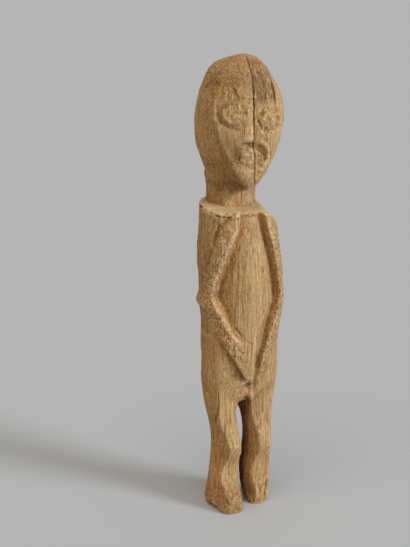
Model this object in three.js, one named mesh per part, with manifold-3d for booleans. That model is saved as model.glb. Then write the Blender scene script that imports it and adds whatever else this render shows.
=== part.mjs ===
// A standing figure carved from one round billet of hardwood, half a metre tall: an egg-shaped head with a
// flat mask-like face, a thick neck set back, square-cut shoulders, arms left standing in low relief round
// a lozenge of belly, hands that meet in front, and short bent legs. Millimetres, +Z up, the face towards -Y.
import * as THREE from "three";
import { mergeVertices } from "three/addons/utils/BufferGeometryUtils.js";
import Module from "manifold-3d";

// Driving dimensions. Heights are above the soles. "Front" and "back" are reaches from the billet's axis
// towards the face and away from it, "left" and "right" are as seen by someone facing the figure.
const HEIGHT = 500;
const SHOULDER_Z = 338;
const SHOULDER_TILT = 0.17; // fall of the shoulders towards the front
const SHOULDER_FALL = 22; // how much lower the rounded shoulder at the figure's own left ends
const CHIN_Z = 363;
const CROTCH = { x: -9, slant: 0.45 }; // the trunk's underside rises from here towards the figure's own left
const ARM_RELIEF = 7; // how far the forearms and hands stand above the hips
const BED = { low: 7, high: 16 }; // depth of the lozenge beside the belly, below and above the forearms
const WALL_SLOPE = { left: 1.5, right: 0.8 }; // sideways run of the lozenge's walls for one of depth
const SPLIT = { width: 2.2, depth: 6 }; // the drying split down the head
const SIDE_SPLIT = { width: 3.2, depth: 5 };
const ARM_LINE = { width: 3, depth: 1.4 };
const CLEFT = { width: 7, depth: 3.5 };

// The billet: the outside of the trunk and of the arms.
const TRUNK = [
  { z: 125, left: 22, right: 21, front: 21.5, back: 22 },
  { z: 130, left: 33, right: 31, front: 26, back: 30 },
  { z: 136, left: 38.5, right: 37.5, front: 28.5, back: 34 },
  { z: 152, left: 41, right: 41, front: 31, back: 36 },
  { z: 175, left: 42, right: 41, front: 34.5, back: 36 },
  { z: 200, left: 42.5, right: 40.5, front: 35.5, back: 34.5 },
  { z: 220, left: 42.5, right: 44, front: 36, back: 33.5 },
  { z: 231, left: 44, right: 45.5, front: 36.5, back: 33.5 },
  { z: 239, left: 48, right: 46.5, front: 37, back: 33.5 },
  { z: 247, left: 47.5, right: 46.5, front: 37, back: 34 },
  { z: 257, left: 45, right: 45.5, front: 37, back: 34.5 },
  { z: 275, left: 46, right: 44.5, front: 36.5, back: 35.5 },
  { z: 300, left: 46.5, right: 41.5, front: 35.5, back: 36.5 },
  { z: 322, left: 45.5, right: 39.5, front: 34.5, back: 37 },
  { z: SHOULDER_Z, left: 44, right: 38.5, front: 33.5, back: 36 },
];
// The belly is cut down inside the lozenge to a rounder, keeled surface that runs out into the right hand.
const BELLY = [
  { z: 145, left: 38, right: 9, front: 36.5, back: 10 },
  { z: 165, left: 38, right: 9.5, front: 37, back: 10 },
  { z: 185, left: 38, right: 14, front: 37, back: 10 },
  { z: 210, left: 37, right: 25, front: 36.5, back: 10 },
  { z: 245, left: 37, right: 36, front: 36, back: 10 },
  { z: 290, left: 33, right: 31, front: 33.5, back: 10 },
  { z: 322, left: 28, right: 27, front: 29.5, back: 10 },
  { z: 352, left: 25, right: 25, front: 23.5, back: 10 },
];
// The lozenge's outline at the surface, from the top and counter-clockwise for someone facing the figure.
const LOZENGE = [
  { x: -12.5, z: 350 },
  { x: -14, z: 327 },
  { x: -22, z: 309 },
  { x: -31.5, z: 287 },
  { x: -37.5, z: 268 },
  { x: -40.3, z: 251 },
  { x: -37, z: 240 },
  { x: -29.6, z: 227 },
  { x: -20.5, z: 209 },
  { x: -10, z: 199 },
  { x: 0, z: 178 },
  { x: 4, z: 155 },
  { x: 10, z: 155 },
  { x: 14, z: 181 },
  { x: 22, z: 206 },
  { x: 31, z: 229 },
  { x: 36, z: 249 },
  { x: 33, z: 270 },
  { x: 27.5, z: 295 },
  { x: 19.5, z: 319 },
  { x: 13, z: 350 },
];
// The back is hollowed more plainly between the shoulder blades and the loins.
const BACK = [
  { z: 190, left: 30, right: 30, front: 10, back: 33 },
  { z: 225, left: 34, right: 34, front: 10, back: 30.5 },
  { z: 260, left: 38, right: 38, front: 10, back: 29.5 },
  { z: 310, left: 38, right: 37, front: 10, back: 31 },
  { z: 352, left: 34, right: 34, front: 10, back: 31 },
];
const BACK_OUTLINE = [
  { x: 15, z: 349 },
  { x: 23, z: 310 },
  { x: 28, z: 275 },
  { x: 27, z: 245 },
  { x: 17, z: 224 },
  { x: 0, z: 214 },
  { x: -17, z: 224 },
  { x: -28, z: 245 },
  { x: -29, z: 275 },
  { x: -24, z: 310 },
  { x: -15, z: 349 },
];
const SEAT_CLEFT = [
  { x: 0.5, z: 186 },
  { x: 0, z: 165 },
  { x: 0, z: 145 },
  { x: 0.5, z: 124 },
];
// The lower edge of the forearms and hands; everything under it is cut down to the hips.
const FOREARM_EDGE = [
  { x: -60, z: 238 },
  { x: -45, z: 236 },
  { x: -35.5, z: 209 },
  { x: -22, z: 187 },
  { x: -5, z: 159 },
  { x: 0, z: 156 },
  { x: 5, z: 159 },
  { x: 22, z: 186 },
  { x: 35.5, z: 208 },
  { x: 45, z: 234 },
  { x: 60, z: 236 },
];
const NECK = [
  { z: SHOULDER_Z - 14, left: 29, right: 27, front: 26, back: 17 },
  { z: SHOULDER_Z + 8, left: 27.5, right: 26, front: 24.5, back: 15.5 },
  { z: 356, left: 27, right: 26.5, front: 24, back: 15 },
  { z: 372, left: 28, right: 27, front: 24, back: 15.5 },
  { z: 392, left: 31, right: 28, front: 22, back: 15 },
];
const NECK_CENTRE = { x: -5.5, y: 18 };

// The head. "Face" is half the width of the face, whose middle is "aside" of the head's. The face is a
// shallow curve from ridge to ridge, and the cheeks run back from there to the widest place.
const WIDEST = { y: 15, rise: -0.09 }; // where the head is widest at the chin, and how that moves upwards
const CHEEK = { bulge: 0.42, over: 45 }; // how far the cheeks swell, and over what height above the chin
const HEAD = [
  { z: CHIN_Z, x: -3, aside: 1.5, face: 3, ridge: 28, front: 29.5, side: 27, back: 31.5 },
  { z: 368, x: -3, aside: 1.8, face: 4.8, ridge: 29.5, front: 31.5, side: 29.8, back: 33 },
  { z: 376, x: -2.4, aside: 2.8, face: 10.2, ridge: 30.5, front: 33.5, side: 34.6, back: 34.5 },
  { z: 386, x: -2, aside: 2.6, face: 17.4, ridge: 31, front: 35, side: 36.5, back: 36 },
  { z: 398, x: -2, aside: 2.4, face: 23.1, ridge: 30, front: 36, side: 41.5, back: 36.5 },
  { z: 410, x: -1.5, aside: 2.4, face: 28.5, ridge: 28.5, front: 36.5, side: 44.5, back: 37 },
  { z: 424, x: -1, aside: 2.1, face: 33.4, ridge: 26.5, front: 37, side: 46.5, back: 37.5 },
  { z: 438, x: -0.5, aside: 1, face: 37.4, ridge: 23, front: 36.5, side: 47.5, back: 37 },
  { z: 452, x: 0, aside: 0, face: 36.4, ridge: 20.5, front: 34, side: 46, back: 35.5 },
  { z: 464, x: -0.4, aside: 0, face: 32, ridge: 18, front: 30.5, side: 42.8, back: 32 },
  { z: 475, x: -1.9, aside: 0, face: 26.5, ridge: 15.5, front: 26, side: 37.2, back: 28 },
  { z: 485, x: -3.2, aside: 0, face: 20.5, ridge: 12.5, front: 21, side: 32.5, back: 22.5 },
  { z: 492, x: -3.2, aside: 0, face: 14, ridge: 9, front: 14.5, side: 26, back: 16 },
  { z: 497, x: 1, aside: 0, face: 7.5, ridge: 5, front: 8.5, side: 15, back: 9.5 },
  { z: HEIGHT, x: 3, aside: 0, face: 2.5, ridge: 1.5, front: 2.5, side: 5, back: 3.5 },
];

// Legs. "Inner" and "outer" are the sides towards and away from the other leg. Each leg's front is a plane
// that meets its side in a ridge, "ridge" across and "proud" forwards, which crosses the knee and the toes.
const RIGHT_LEG = [
  { z: 0, inner: -5, outer: -36, ridge: -27.5, proud: 31, front: 32, back: 22 },
  { z: 6, inner: -5, outer: -37.5, ridge: -27.7, proud: 32, front: 32, back: 24 },
  { z: 14, inner: -5, outer: -36, ridge: -28, proud: 31, front: 30.5, back: 23.5 },
  { z: 25, inner: -5.5, outer: -34.5, ridge: -28.5, proud: 25, front: 25, back: 21.5 },
  { z: 36, inner: -3.5, outer: -33.5, ridge: -28, proud: 19, front: 19, back: 19 },
  { z: 46, inner: -2.7, outer: -33, ridge: -25.8, proud: 16, front: 15.5, back: 17 },
  { z: 56, inner: -1, outer: -32.5, ridge: -19.3, proud: 16, front: 15.5, back: 16 },
  { z: 66, inner: -0.2, outer: -32, ridge: -16.5, proud: 20, front: 20, back: 15 },
  { z: 76, inner: -1, outer: -31.5, ridge: -18.7, proud: 24, front: 24, back: 15 },
  { z: 88, inner: -3.5, outer: -32, ridge: -23, proud: 23.5, front: 23.5, back: 18 },
  { z: 102, inner: -5.5, outer: -33.5, ridge: -28.3, proud: 22, front: 22, back: 23 },
  { z: 116, inner: -6.5, outer: -36.5, ridge: -30.3, proud: 21.5, front: 21.5, back: 28 },
  { z: 125, inner: -3, outer: -38, ridge: -31.2, proud: 21, front: 21.5, back: 30 },
  { z: 134, inner: -2, outer: -39, ridge: -31.8, proud: 20.5, front: 21.5, back: 31.5 },
  { z: 152, inner: -5, outer: -40, ridge: -32, proud: 20, front: 23, back: 33 },
  { z: 170, inner: -4, outer: -38, ridge: -32, proud: 18, front: 24, back: 30 },
];
// The left foot has lost its toes.
const LEFT_LEG = [
  { z: 0, inner: 10, outer: 33, ridge: 25, proud: 17, front: 17, back: 20 },
  { z: 6, inner: 8.5, outer: 35, ridge: 23.5, proud: 18, front: 18, back: 22 },
  { z: 16, inner: 5, outer: 37, ridge: 19.8, proud: 18, front: 18, back: 22 },
  { z: 28, inner: 3.5, outer: 37, ridge: 14.3, proud: 17, front: 17, back: 21 },
  { z: 40, inner: 3, outer: 36, ridge: 10.3, proud: 15.5, front: 15.5, back: 19 },
  { z: 52, inner: 3, outer: 35, ridge: 13.4, proud: 15.3, front: 15, back: 17.5 },
  { z: 62, inner: 4.5, outer: 35, ridge: 18, proud: 17.3, front: 17, back: 16.5 },
  { z: 74, inner: 6.3, outer: 35, ridge: 17.9, proud: 21.7, front: 21.5, back: 16.5 },
  { z: 88, inner: 6.5, outer: 35, ridge: 15.8, proud: 22.5, front: 22.5, back: 18 },
  { z: 102, inner: 5.3, outer: 35.5, ridge: 10.6, proud: 19, front: 21.5, back: 23 },
  { z: 110, inner: 3.8, outer: 35.7, ridge: 10.2, proud: 17.8, front: 21.5, back: 25.5 },
  { z: 119, inner: -1, outer: 36.2, ridge: 9.7, proud: 17, front: 21.5, back: 28.5 },
  { z: 134, inner: -2.5, outer: 38.5, ridge: 9, proud: 17, front: 21.5, back: 31.5 },
  { z: 152, inner: -2.5, outer: 40.3, ridge: 8, proud: 17, front: 23, back: 33 },
  { z: 170, inner: -1, outer: 38, ridge: 7, proud: 15, front: 24, back: 30 },
];
const TOE_IN = 0.24; // sideways run of the feet for one forwards

const EARS = [
  { x: -45.4, y: 9, z: 434 },
  { x: 44.6, y: 9, z: 432 },
];
// Carving on the face: ovals, each a rounded furrow about a raised middle.
const EYES = [
  { x: -21.5, z: 440.5, half: 12.4, rise: 11, furrow: 2 },
  { x: 17, z: 435, half: 12.6, rise: 10.5, furrow: 2 },
];
// The nose is a worn wedge, widest and proudest at its foot.
const NOSE_X = -4.5;
const NOSE = [
  { z: 413, half: 6.5, proud: 0.6 },
  { z: 418, half: 6.5, proud: 2 },
  { z: 440, half: 4.5, proud: 0.8 },
  { z: 456, half: 3, proud: 0 },
];
const MOUTH = { x: -2, z: 399, half: 19, rise: 15, depth: 4.5 };
const MAIN_CRACK = [
  { x: 1.6, z: 498 },
  { x: 1.7, z: 486 },
  { x: 2.1, z: 474 },
  { x: 0.7, z: 455 },
  { x: 0.6, z: 431 },
  { x: 0, z: 415 },
  { x: 2.4, z: 394 },
  { x: 2.4, z: 378 },
  { x: 3.6, z: 361 },
];
const SIDE_CRACK = [
  { x: 25.4, z: 484 },
  { x: 26.1, z: 471 },
  { x: 26.7, z: 459 },
  { x: 26.4, z: 447 },
];

// The outer edge of an upper arm, a fine furrow down the billet from the shoulder to the elbow.
const ARM_EDGE = [
  { x: 29, z: 335 },
  { x: 34.5, z: 325 },
  { x: 39, z: 307 },
  { x: 43, z: 288 },
  { x: 44.5, z: 274 },
];

const wasm = await Module();
wasm.setup();

// A closed three.js geometry as a solid.
function solidOf(geometry) {
  geometry.deleteAttribute("normal");
  geometry.deleteAttribute("uv");
  const merged = mergeVertices(geometry, 1e-4);
  return new wasm.Manifold(
    new wasm.Mesh({
      numProp: 3,
      vertProperties: new Float32Array(merged.attributes.position.array),
      triVerts: new Uint32Array(merged.index.array),
    }),
  );
}

// Joins rings of points, each counter-clockwise when seen from the last one, into a closed skin.
function skin(rings) {
  const count = rings[0].length;
  const middle = (ring) => ring.reduce((sum, p) => sum.add(p), new THREE.Vector3()).divideScalar(count);
  const first = middle(rings[0]);
  const last = middle(rings.at(-1));
  const corners = [];
  for (let k = 0; k < count; k++) {
    const next = (k + 1) % count;
    corners.push(first, rings[0][next], rings[0][k]);
    for (let i = 0; i + 1 < rings.length; i++) {
      const [low, high] = [rings[i], rings[i + 1]];
      corners.push(low[k], low[next], high[next], low[k], high[next], high[k]);
    }
    corners.push(last, rings.at(-1)[k], rings.at(-1)[next]);
  }
  const geometry = new THREE.BufferGeometry().setFromPoints(corners);
  geometry.setIndex([...corners.keys()]);
  return geometry;
}

// The station at height z, on a smooth cubic through the given ones.
function stationAt(stations, z) {
  const above = stations.findIndex((station) => station.z > z);
  const index = above < 0 ? stations.length - 2 : Math.max(above - 1, 0);
  const [a, b] = [stations[index], stations[index + 1]];
  const before = stations[Math.max(index - 1, 0)];
  const after = stations[Math.min(index + 2, stations.length - 1)];
  const span = b.z - a.z;
  const t = THREE.MathUtils.clamp((z - a.z) / span, 0, 1);
  const blend = (key) => {
    const leaving = ((b[key] - before[key]) / (b.z - before.z)) * span;
    const arriving = ((after[key] - a[key]) / (after.z - a.z)) * span;
    return (
      a[key] * (2 * t ** 3 - 3 * t ** 2 + 1) +
      b[key] * (3 * t ** 2 - 2 * t ** 3) +
      leaving * (t ** 3 - 2 * t ** 2 + t) +
      arriving * (t ** 3 - t ** 2)
    );
  };
  return Object.fromEntries(Object.keys(a).map((key) => [key, key === "z" ? z : blend(key)]));
}

// Heights for the rings of a loft: every station, and enough between them to keep to the step.
function heights(stations, step) {
  return stations.flatMap((station, i) => {
    if (i === stations.length - 1) return [station.z];
    const span = stations[i + 1].z - station.z;
    const parts = Math.max(1, Math.round(span / step));
    return Array.from({ length: parts }, (_, k) => station.z + (span * k) / parts);
  });
}

// A squared ellipse whose four reaches differ; power 2 is a true ellipse and more is squarer.
function billetRing({ z, left, right, front, back }, sides, power, centre) {
  return Array.from({ length: sides }, (_, k) => {
    const angle = (k / sides) * 2 * Math.PI;
    const squared = (value) => Math.sign(value) * Math.abs(value) ** (2 / power);
    const across = squared(Math.cos(angle));
    const along = squared(Math.sin(angle));
    return new THREE.Vector3(
      centre.x + across * (across > 0 ? right : left),
      centre.y + along * (along > 0 ? back : front),
      z,
    );
  });
}

function billetRings(stations, { sides, step, power, centre = { x: 0, y: 0 } }) {
  return heights(stations, step).map((z) => billetRing(stationAt(stations, z), sides, power, centre));
}

// One ring of the head: face, right cheek, back and left cheek, counter-clockwise from above.
function headRing({ z, x, aside, face, ridge, front, side, back }) {
  const at = (across, reach) => new THREE.Vector3(x + across, -reach, z);
  const above = z - CHIN_Z;
  const widest = -WIDEST.y - WIDEST.rise * above;
  const bulge = CHEEK.bulge * Math.sin((Math.PI / 2) * THREE.MathUtils.clamp(above / CHEEK.over, 0, 1));
  const run = ridge - widest;
  const brow = new THREE.QuadraticBezierCurve3(
    at(aside - face, ridge),
    at(aside, 2 * front - ridge),
    at(aside + face, ridge),
  ).getPoints(10);
  const cheek = (way) =>
    new THREE.CubicBezierCurve3(
      at(aside + way * face, ridge),
      at(aside + way * (face + bulge * (side - face)), ridge - 0.33 * run),
      at(way * side, widest + 0.35 * run),
      at(way * side, widest),
    ).getPoints(6);
  const nape = Array.from({ length: 17 }, (_, k) => {
    const angle = (k / 16) * Math.PI;
    return at(side * Math.cos(angle), widest - (back + widest) * Math.sin(angle) ** 0.9);
  });
  return [brow, cheek(1), nape, cheek(-1).reverse()].flatMap((edge) => edge.slice(0, -1));
}

// How far a ring's skin lies from the axis at x, towards the front or the back.
const FRONT = -1;
const REAR = 1;
function reachAt(ring, x, side) {
  const reaches = ring.map((p, k) => {
    const q = ring[(k + 1) % ring.length];
    if ((p.x - x) * (q.x - x) > 0 || p.x === q.x) return -Infinity;
    return side * THREE.MathUtils.lerp(p.y, q.y, (x - p.x) / (q.x - p.x));
  });
  return Math.max(...reaches);
}

function trunkReach({ x, z }, side) {
  const ring = billetRing(stationAt(TRUNK, z), 96, 2.5, { x: 0, y: 0 });
  return Math.max(reachAt(ring, x, side), 0);
}
const faceReach = ({ x, z }) => reachAt(headRing(stationAt(HEAD, z)), x, FRONT);

// A block that reaches into the trunk, its outline shrinking inwards with depth.
function sinking(outline, side, depth) {
  const middle = outline.reduce((sum, p) => sum + p.z, 0) / outline.length;
  const ring = (level) =>
    outline.map((p) => {
      const away = new THREE.Vector2(p.x, p.z - middle);
      away.setLength(away.length() + level * (p.x < 0 ? WALL_SLOPE.left : WALL_SLOPE.right));
      return new THREE.Vector3(away.x, side * (trunkReach(p, side) + level), middle + away.y);
    });
  return solidOf(skin([ring(-depth), ring(-depth / 2), ring(0), ring(14)]));
}

// A V-shaped furrow along points on a skin, open to the outside.
function furrow(points, reach, { width, depth }, side = FRONT) {
  const onSkin = points.map((p) => new THREE.Vector3(p.x, side * reach(p, side), p.z));
  const line = new THREE.CatmullRomCurve3(onSkin);
  const steps = 3 * points.length;
  const rings = Array.from({ length: steps + 1 }, (_, i) => {
    const t = i / steps;
    const centre = line.getPoint(t);
    const taper = 0.35 + 0.65 * Math.sin(Math.PI * THREE.MathUtils.clamp(t, 0.06, 0.94));
    const half = (width * taper) / 2;
    const outward = new THREE.Vector3(centre.x * 0.7, centre.y, 0).normalize();
    const across = new THREE.Vector3().crossVectors(line.getTangent(t), outward).normalize();
    const corner = (u, v) => centre.clone().addScaledVector(across, u).addScaledVector(outward, v);
    return [
      corner(half * 1.6, 5),
      corner(half, 0),
      corner(0, -depth * taper),
      corner(-half, 0),
      corner(-half * 1.6, 5),
    ];
  });
  return solidOf(skin(rings));
}

// An oval furrow that follows the face, as a round bead bent into a ring.
function ovalFurrow({ x, z, half, rise }, radius) {
  const loop = Array.from({ length: 20 }, (_, k) => {
    const angle = (k / 20) * 2 * Math.PI;
    const point = { x: x + half * Math.cos(angle), z: z + rise * Math.sin(angle) };
    return new THREE.Vector3(point.x, -faceReach(point), point.z);
  });
  return solidOf(new THREE.TubeGeometry(new THREE.CatmullRomCurve3(loop, true), 22, radius, 6, true));
}

// A low dome or dish that follows a skin.
function lens({ x, z }, reach, half, proud, rise) {
  const ball = new THREE.SphereGeometry(1, 14, 8).rotateX(Math.PI / 2).scale(half, proud, rise);
  const place = ball.translate(x, 0, z).attributes.position;
  for (let i = 0; i < place.count; i++) {
    place.setY(i, place.getY(i) - reach({ x: place.getX(i), z: place.getZ(i) }));
  }
  return solidOf(ball);
}

function head() {
  let block = solidOf(skin(heights(HEAD, 10).map((z) => headRing(stationAt(HEAD, z)))));
  for (const eye of EYES) {
    block = block.subtract(ovalFurrow(eye, eye.furrow));
    block = block.add(lens(eye, faceReach, eye.half - 2.5, 1.6, eye.rise - 2.5));
  }
  const nose = NOSE.map(({ z, half, proud }) => {
    const reach = faceReach({ x: NOSE_X, z });
    const at = (x, out) => new THREE.Vector3(NOSE_X + x, -(reach + out), z);
    return [
      at(-half, -4),
      at(-half, -0.8),
      at(-half / 2, proud),
      at(half / 2, proud),
      at(half, -0.8),
      at(half, -4),
    ];
  });
  block = block.add(solidOf(skin(nose)));
  block = block.subtract(lens(MOUTH, faceReach, MOUTH.half, MOUTH.depth, MOUTH.rise));
  const lips = (place) => faceReach(place) - MOUTH.depth;
  block = block.add(lens(MOUTH, lips, MOUTH.half - 7, MOUTH.depth - 0.6, MOUTH.rise - 4));
  for (const { x, y, z } of EARS) {
    block = block.add(solidOf(new THREE.SphereGeometry(1, 8, 8).scale(2.8, 4.5, 11).translate(x, y, z)));
  }
  block = block.subtract(furrow(MAIN_CRACK, faceReach, SPLIT));
  return block.subtract(furrow(SIDE_CRACK, faceReach, SIDE_SPLIT));
}

function neck() {
  return solidOf(skin(billetRings(NECK, { sides: 28, step: 12, power: 2.1, centre: NECK_CENTRE })));
}

// The shoulders are hewn nearly flat and slope forwards; the figure's own left one is rounded off. The
// underside slants up between the legs.
function hewnEnds(rings) {
  const rim = rings.at(-1);
  const inner = rim.map((p) => new THREE.Vector3(p.x * 0.6, p.y * 0.6, p.z));
  const all = [...rings, inner];
  for (const point of all.flat()) {
    const share = THREE.MathUtils.smoothstep(point.z, 296, SHOULDER_Z);
    const rounding = THREE.MathUtils.clamp((point.x - 10) / 26, 0, 1) ** 3.6;
    point.z += share * (SHOULDER_TILT * (point.y + 32) - SHOULDER_FALL * rounding);
    const underside = THREE.MathUtils.smoothstep(150 - point.z, 0, 24);
    point.z += underside * CROTCH.slant * Math.max(point.x - CROTCH.x, 0);
  }
  return all;
}

function trunk() {
  let block = solidOf(skin(hewnEnds(billetRings(TRUNK, { sides: 48, step: 13, power: 2.5 }))));
  const belly = solidOf(skin(billetRings(BELLY, { sides: 40, step: 14, power: 1.85 })));
  const lowered = TRUNK.map((station) => {
    const depth = THREE.MathUtils.lerp(BED.low, BED.high, THREE.MathUtils.smoothstep(station.z, 200, 247));
    return { ...station, left: 4, front: station.front - depth };
  });
  const bed = solidOf(skin(billetRings(lowered, { sides: 36, step: 20, power: 2.5 })));
  block = block.subtract(sinking(LOZENGE, FRONT, 16).subtract(belly).subtract(bed));
  const loins = solidOf(skin(billetRings(BACK, { sides: 36, step: 20, power: 2.6 })));
  block = block.subtract(sinking(BACK_OUTLINE, REAR, 10).subtract(loins));
  const hips = TRUNK.map(({ z, left, right, front, back }) => ({
    z,
    left: left + 1.2,
    right: right + 1.2,
    front: front - ARM_RELIEF,
    back,
  }));
  const hipBlock = solidOf(skin(billetRings(hips, { sides: 36, step: 14, power: 3 })));
  const below = [{ x: 60, z: 100 }, { x: -60, z: 100 }];
  const shape = new THREE.Shape([...FOREARM_EDGE, ...below].map((p) => new THREE.Vector2(p.x, p.z)));
  const slab = new THREE.ExtrudeGeometry(shape, { depth: 60, bevelEnabled: false }).rotateX(Math.PI / 2);
  block = block.subtract(solidOf(slab).subtract(hipBlock));
  for (const side of [-1, 1]) {
    const edge = ARM_EDGE.map(({ x, z }) => ({ x: side * x, z }));
    block = block.subtract(furrow(edge, trunkReach, ARM_LINE));
  }
  return block.subtract(furrow(SEAT_CLEFT, trunkReach, CLEFT, REAR));
}

// One ring of a leg: the back, the side that shows from the figure's right, the ridge and the front plane.
function legRing({ z, inner, outer, ridge, proud, front, back }) {
  const [left, right] = [Math.min(inner, outer), Math.max(inner, outer)];
  const middle = (left + right) / 2;
  const at = (x, reach) => new THREE.Vector3(x, -reach, z);
  const squared = (value) => Math.sign(value) * Math.abs(value) ** (2 / 3);
  const blunt = 1 - THREE.MathUtils.smoothstep(z, 2, 22);
  const behind = Array.from({ length: 13 }, (_, k) => {
    const angle = (k / 12) * Math.PI;
    return at(middle + (right - middle) * squared(Math.cos(angle)), -back * squared(Math.sin(angle)));
  });
  const side = new THREE.CubicBezierCurve3(
    at(left, 0),
    at(left, (0.35 + 0.5 * blunt) * proud),
    at(ridge - (0.25 + 0.4 * blunt) * (ridge - left), (0.85 + 0.13 * blunt) * proud),
    at(ridge, proud),
  ).getPoints(5);
  const plane = new THREE.CubicBezierCurve3(
    at(ridge, proud),
    at(right - 0.1 * (right - ridge), 0.97 * front),
    at(right, 0.7 * front),
    at(right, 0),
  ).getPoints(7);
  return [behind, side, plane].flatMap((edge) => edge.slice(0, -1));
}

function leg(stations) {
  const rings = heights(stations, 10).map((z) => legRing(stationAt(stations, z)));
  const way = Math.sign(stations[0].inner);
  for (const point of rings.flat()) {
    const share = THREE.MathUtils.smoothstep(45 - point.z, 0, 30);
    point.x += way * TOE_IN * Math.min(point.y, 0) * share;
  }
  return solidOf(skin(rings));
}

const knob = solidOf(new THREE.SphereGeometry(1, 10, 8).scale(3.4, 5, 5).translate(4.8, -21.5, 134));

const figure = [neck(), trunk(), leg(RIGHT_LEG), leg(LEFT_LEG), knob].reduce(
  (whole, piece) => whole.add(piece),
  head(),
);

const hull = figure.getMesh();
const geometry = new THREE.BufferGeometry();
geometry.setAttribute("position", new THREE.BufferAttribute(hull.vertProperties, 3));
geometry.setIndex(new THREE.BufferAttribute(hull.triVerts, 1));
// The origin is on the ground, under the middle of the figure's box.
geometry.computeBoundingBox();
const { min, max } = geometry.boundingBox;
geometry.translate(-(min.x + max.x) / 2, -(min.y + max.y) / 2, -min.z);
geometry.computeVertexNormals();

const wood = new THREE.MeshStandardMaterial({ color: 0xa07a4c, roughness: 0.85, metalness: 0 });
const carving = new THREE.Mesh(geometry, wood);
carving.name = "carved_figure";

const model = new THREE.Group();
model.add(carving);
export default model;
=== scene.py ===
import math

import bmesh
import bpy
import numpy as np
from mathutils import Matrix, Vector, kdtree


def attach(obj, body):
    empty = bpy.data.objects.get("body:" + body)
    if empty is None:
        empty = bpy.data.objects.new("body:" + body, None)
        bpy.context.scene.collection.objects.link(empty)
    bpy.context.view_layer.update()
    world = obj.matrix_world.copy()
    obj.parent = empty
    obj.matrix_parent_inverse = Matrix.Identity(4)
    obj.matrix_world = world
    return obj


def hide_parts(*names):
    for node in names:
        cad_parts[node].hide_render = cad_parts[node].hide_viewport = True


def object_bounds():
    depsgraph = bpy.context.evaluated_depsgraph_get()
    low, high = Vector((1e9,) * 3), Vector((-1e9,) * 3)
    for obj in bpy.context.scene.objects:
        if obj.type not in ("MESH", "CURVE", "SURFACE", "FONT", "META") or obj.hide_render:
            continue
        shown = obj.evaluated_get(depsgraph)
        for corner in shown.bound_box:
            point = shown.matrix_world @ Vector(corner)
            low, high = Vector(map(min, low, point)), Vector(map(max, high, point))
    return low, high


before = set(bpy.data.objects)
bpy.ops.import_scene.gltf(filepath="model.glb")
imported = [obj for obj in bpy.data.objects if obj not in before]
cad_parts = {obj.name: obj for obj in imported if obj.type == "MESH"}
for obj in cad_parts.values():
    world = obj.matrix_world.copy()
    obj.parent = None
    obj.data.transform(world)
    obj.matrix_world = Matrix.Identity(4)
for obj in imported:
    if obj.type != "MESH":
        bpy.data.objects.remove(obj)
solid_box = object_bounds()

# The billet. The whole figure is one length of dense tan hardwood, hewn to shape with an adze and a knife
# and then worn for years. Its form comes from the solid, closed over at the scale of the wood's own grain,
# and the flat cuts are rubbed round everywhere but along the edges that still show.
MM = 1000  # mm in a metre
PITH = np.array([0.4, 1.169, 0.0])  # mm, where the billet's pith stands in the frame
GRAIN_PITCH = 0.00095  # m between the points of the hewn surface
EDGE_TURN = math.radians(21)  # a fold sharper than this is a carved edge
EDGE_KEPT = 3.2  # mm either side of a carved edge that rubbing spares
EDGE_WEAR = 0.08  # the share of the rubbing that even a carved edge has had
CROWN = 0.478  # m up; above this every edge has been rubbed round
RUBS = 34
RUB_REACH = 0.6  # how far one rub brings a point to the middle of its neighbours
# Rubbed places: how much, mm to the viewer's right of the pith, mm up, half width and half height.
RUBBED = (
    (1, -15, 453, 11, 6),  # the left eye: its brow, inner end, outer end and lower furrow
    (1, -8, 446, 5, 10),
    (0.35, -31, 437, 5, 12),
    (0.35, -22, 429, 9, 5),
    (0.5, 19, 437, 15, 13),  # the right eye
    (1, -5, 428, 8, 18),  # the nose
    (1, -17, 401, 5, 13),  # the mouth: its near side, foot and far side
    (1, -8, 387, 8, 5),
    (0.4, 15, 398, 6, 13),
    (1, 16, 331, 4, 7),  # the top of the far arm
    (1, 22, 134, 13, 9),  # the top of the far thigh
    (0.8, -25, 90, 7, 13),  # the near knee, shin and foot
    (0.5, -14, 66, 5, 9),
    (0.8, -25, 12, 8, 9),
)

figure = bpy.data.objects.new("chamba_figure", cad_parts["carved_figure"].data.copy())
bpy.context.scene.collection.objects.link(figure)

rough_out = bmesh.new()
rough_out.from_mesh(figure.data)
bmesh.ops.remove_doubles(rough_out, verts=rough_out.verts, dist=1e-6)
carved_edges = []
for edge in rough_out.edges:
    crown = min(v.co.z for v in edge.verts) > CROWN
    if len(edge.link_faces) == 2 and edge.calc_face_angle() > EDGE_TURN and not crown:
        start, end = (v.co * MM for v in edge.verts)
        steps = max(1, int((end - start).length))
        carved_edges += [start.lerp(end, (k + 0.5) / steps) for k in range(steps)]
rough_out.to_mesh(figure.data)
rough_out.free()


def settled(piece):
    """The piece's mesh with its modifiers worked in."""
    mesh = bpy.data.meshes.new_from_object(piece.evaluated_get(bpy.context.evaluated_depsgraph_get()))
    piece.modifiers.clear()
    return mesh


def skin_of(piece):
    """The piece's points, in mm from the pith, and the pairs of them that its edges join."""
    spots = np.empty(len(piece.data.vertices) * 3)
    piece.data.vertices.foreach_get("co", spots)
    ends = np.empty(len(piece.data.edges) * 2, dtype=np.int64)
    piece.data.edges.foreach_get("vertices", ends)
    return spots.reshape(-1, 3) * MM - PITH, ends.reshape(-1, 2)


def facing_of(piece):
    """Which way the piece's skin faces at each point."""
    ways = np.empty(len(piece.data.vertices) * 3)
    piece.data.vertex_normals.foreach_get("vector", ways)
    return ways.reshape(-1, 3)


def neighbour_mean(values):
    """The mean of each point's neighbours, for three numbers at each point."""
    near, far = np.concatenate([pairs[:, 0], pairs[:, 1]]), np.concatenate([pairs[:, 1], pairs[:, 0]])
    share = 1 / np.maximum(np.bincount(near, minlength=points), 1)
    sums = [np.bincount(near, weights=column[far], minlength=points) for column in values.T]
    return np.stack(sums, 1) * share[:, None]


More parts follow.
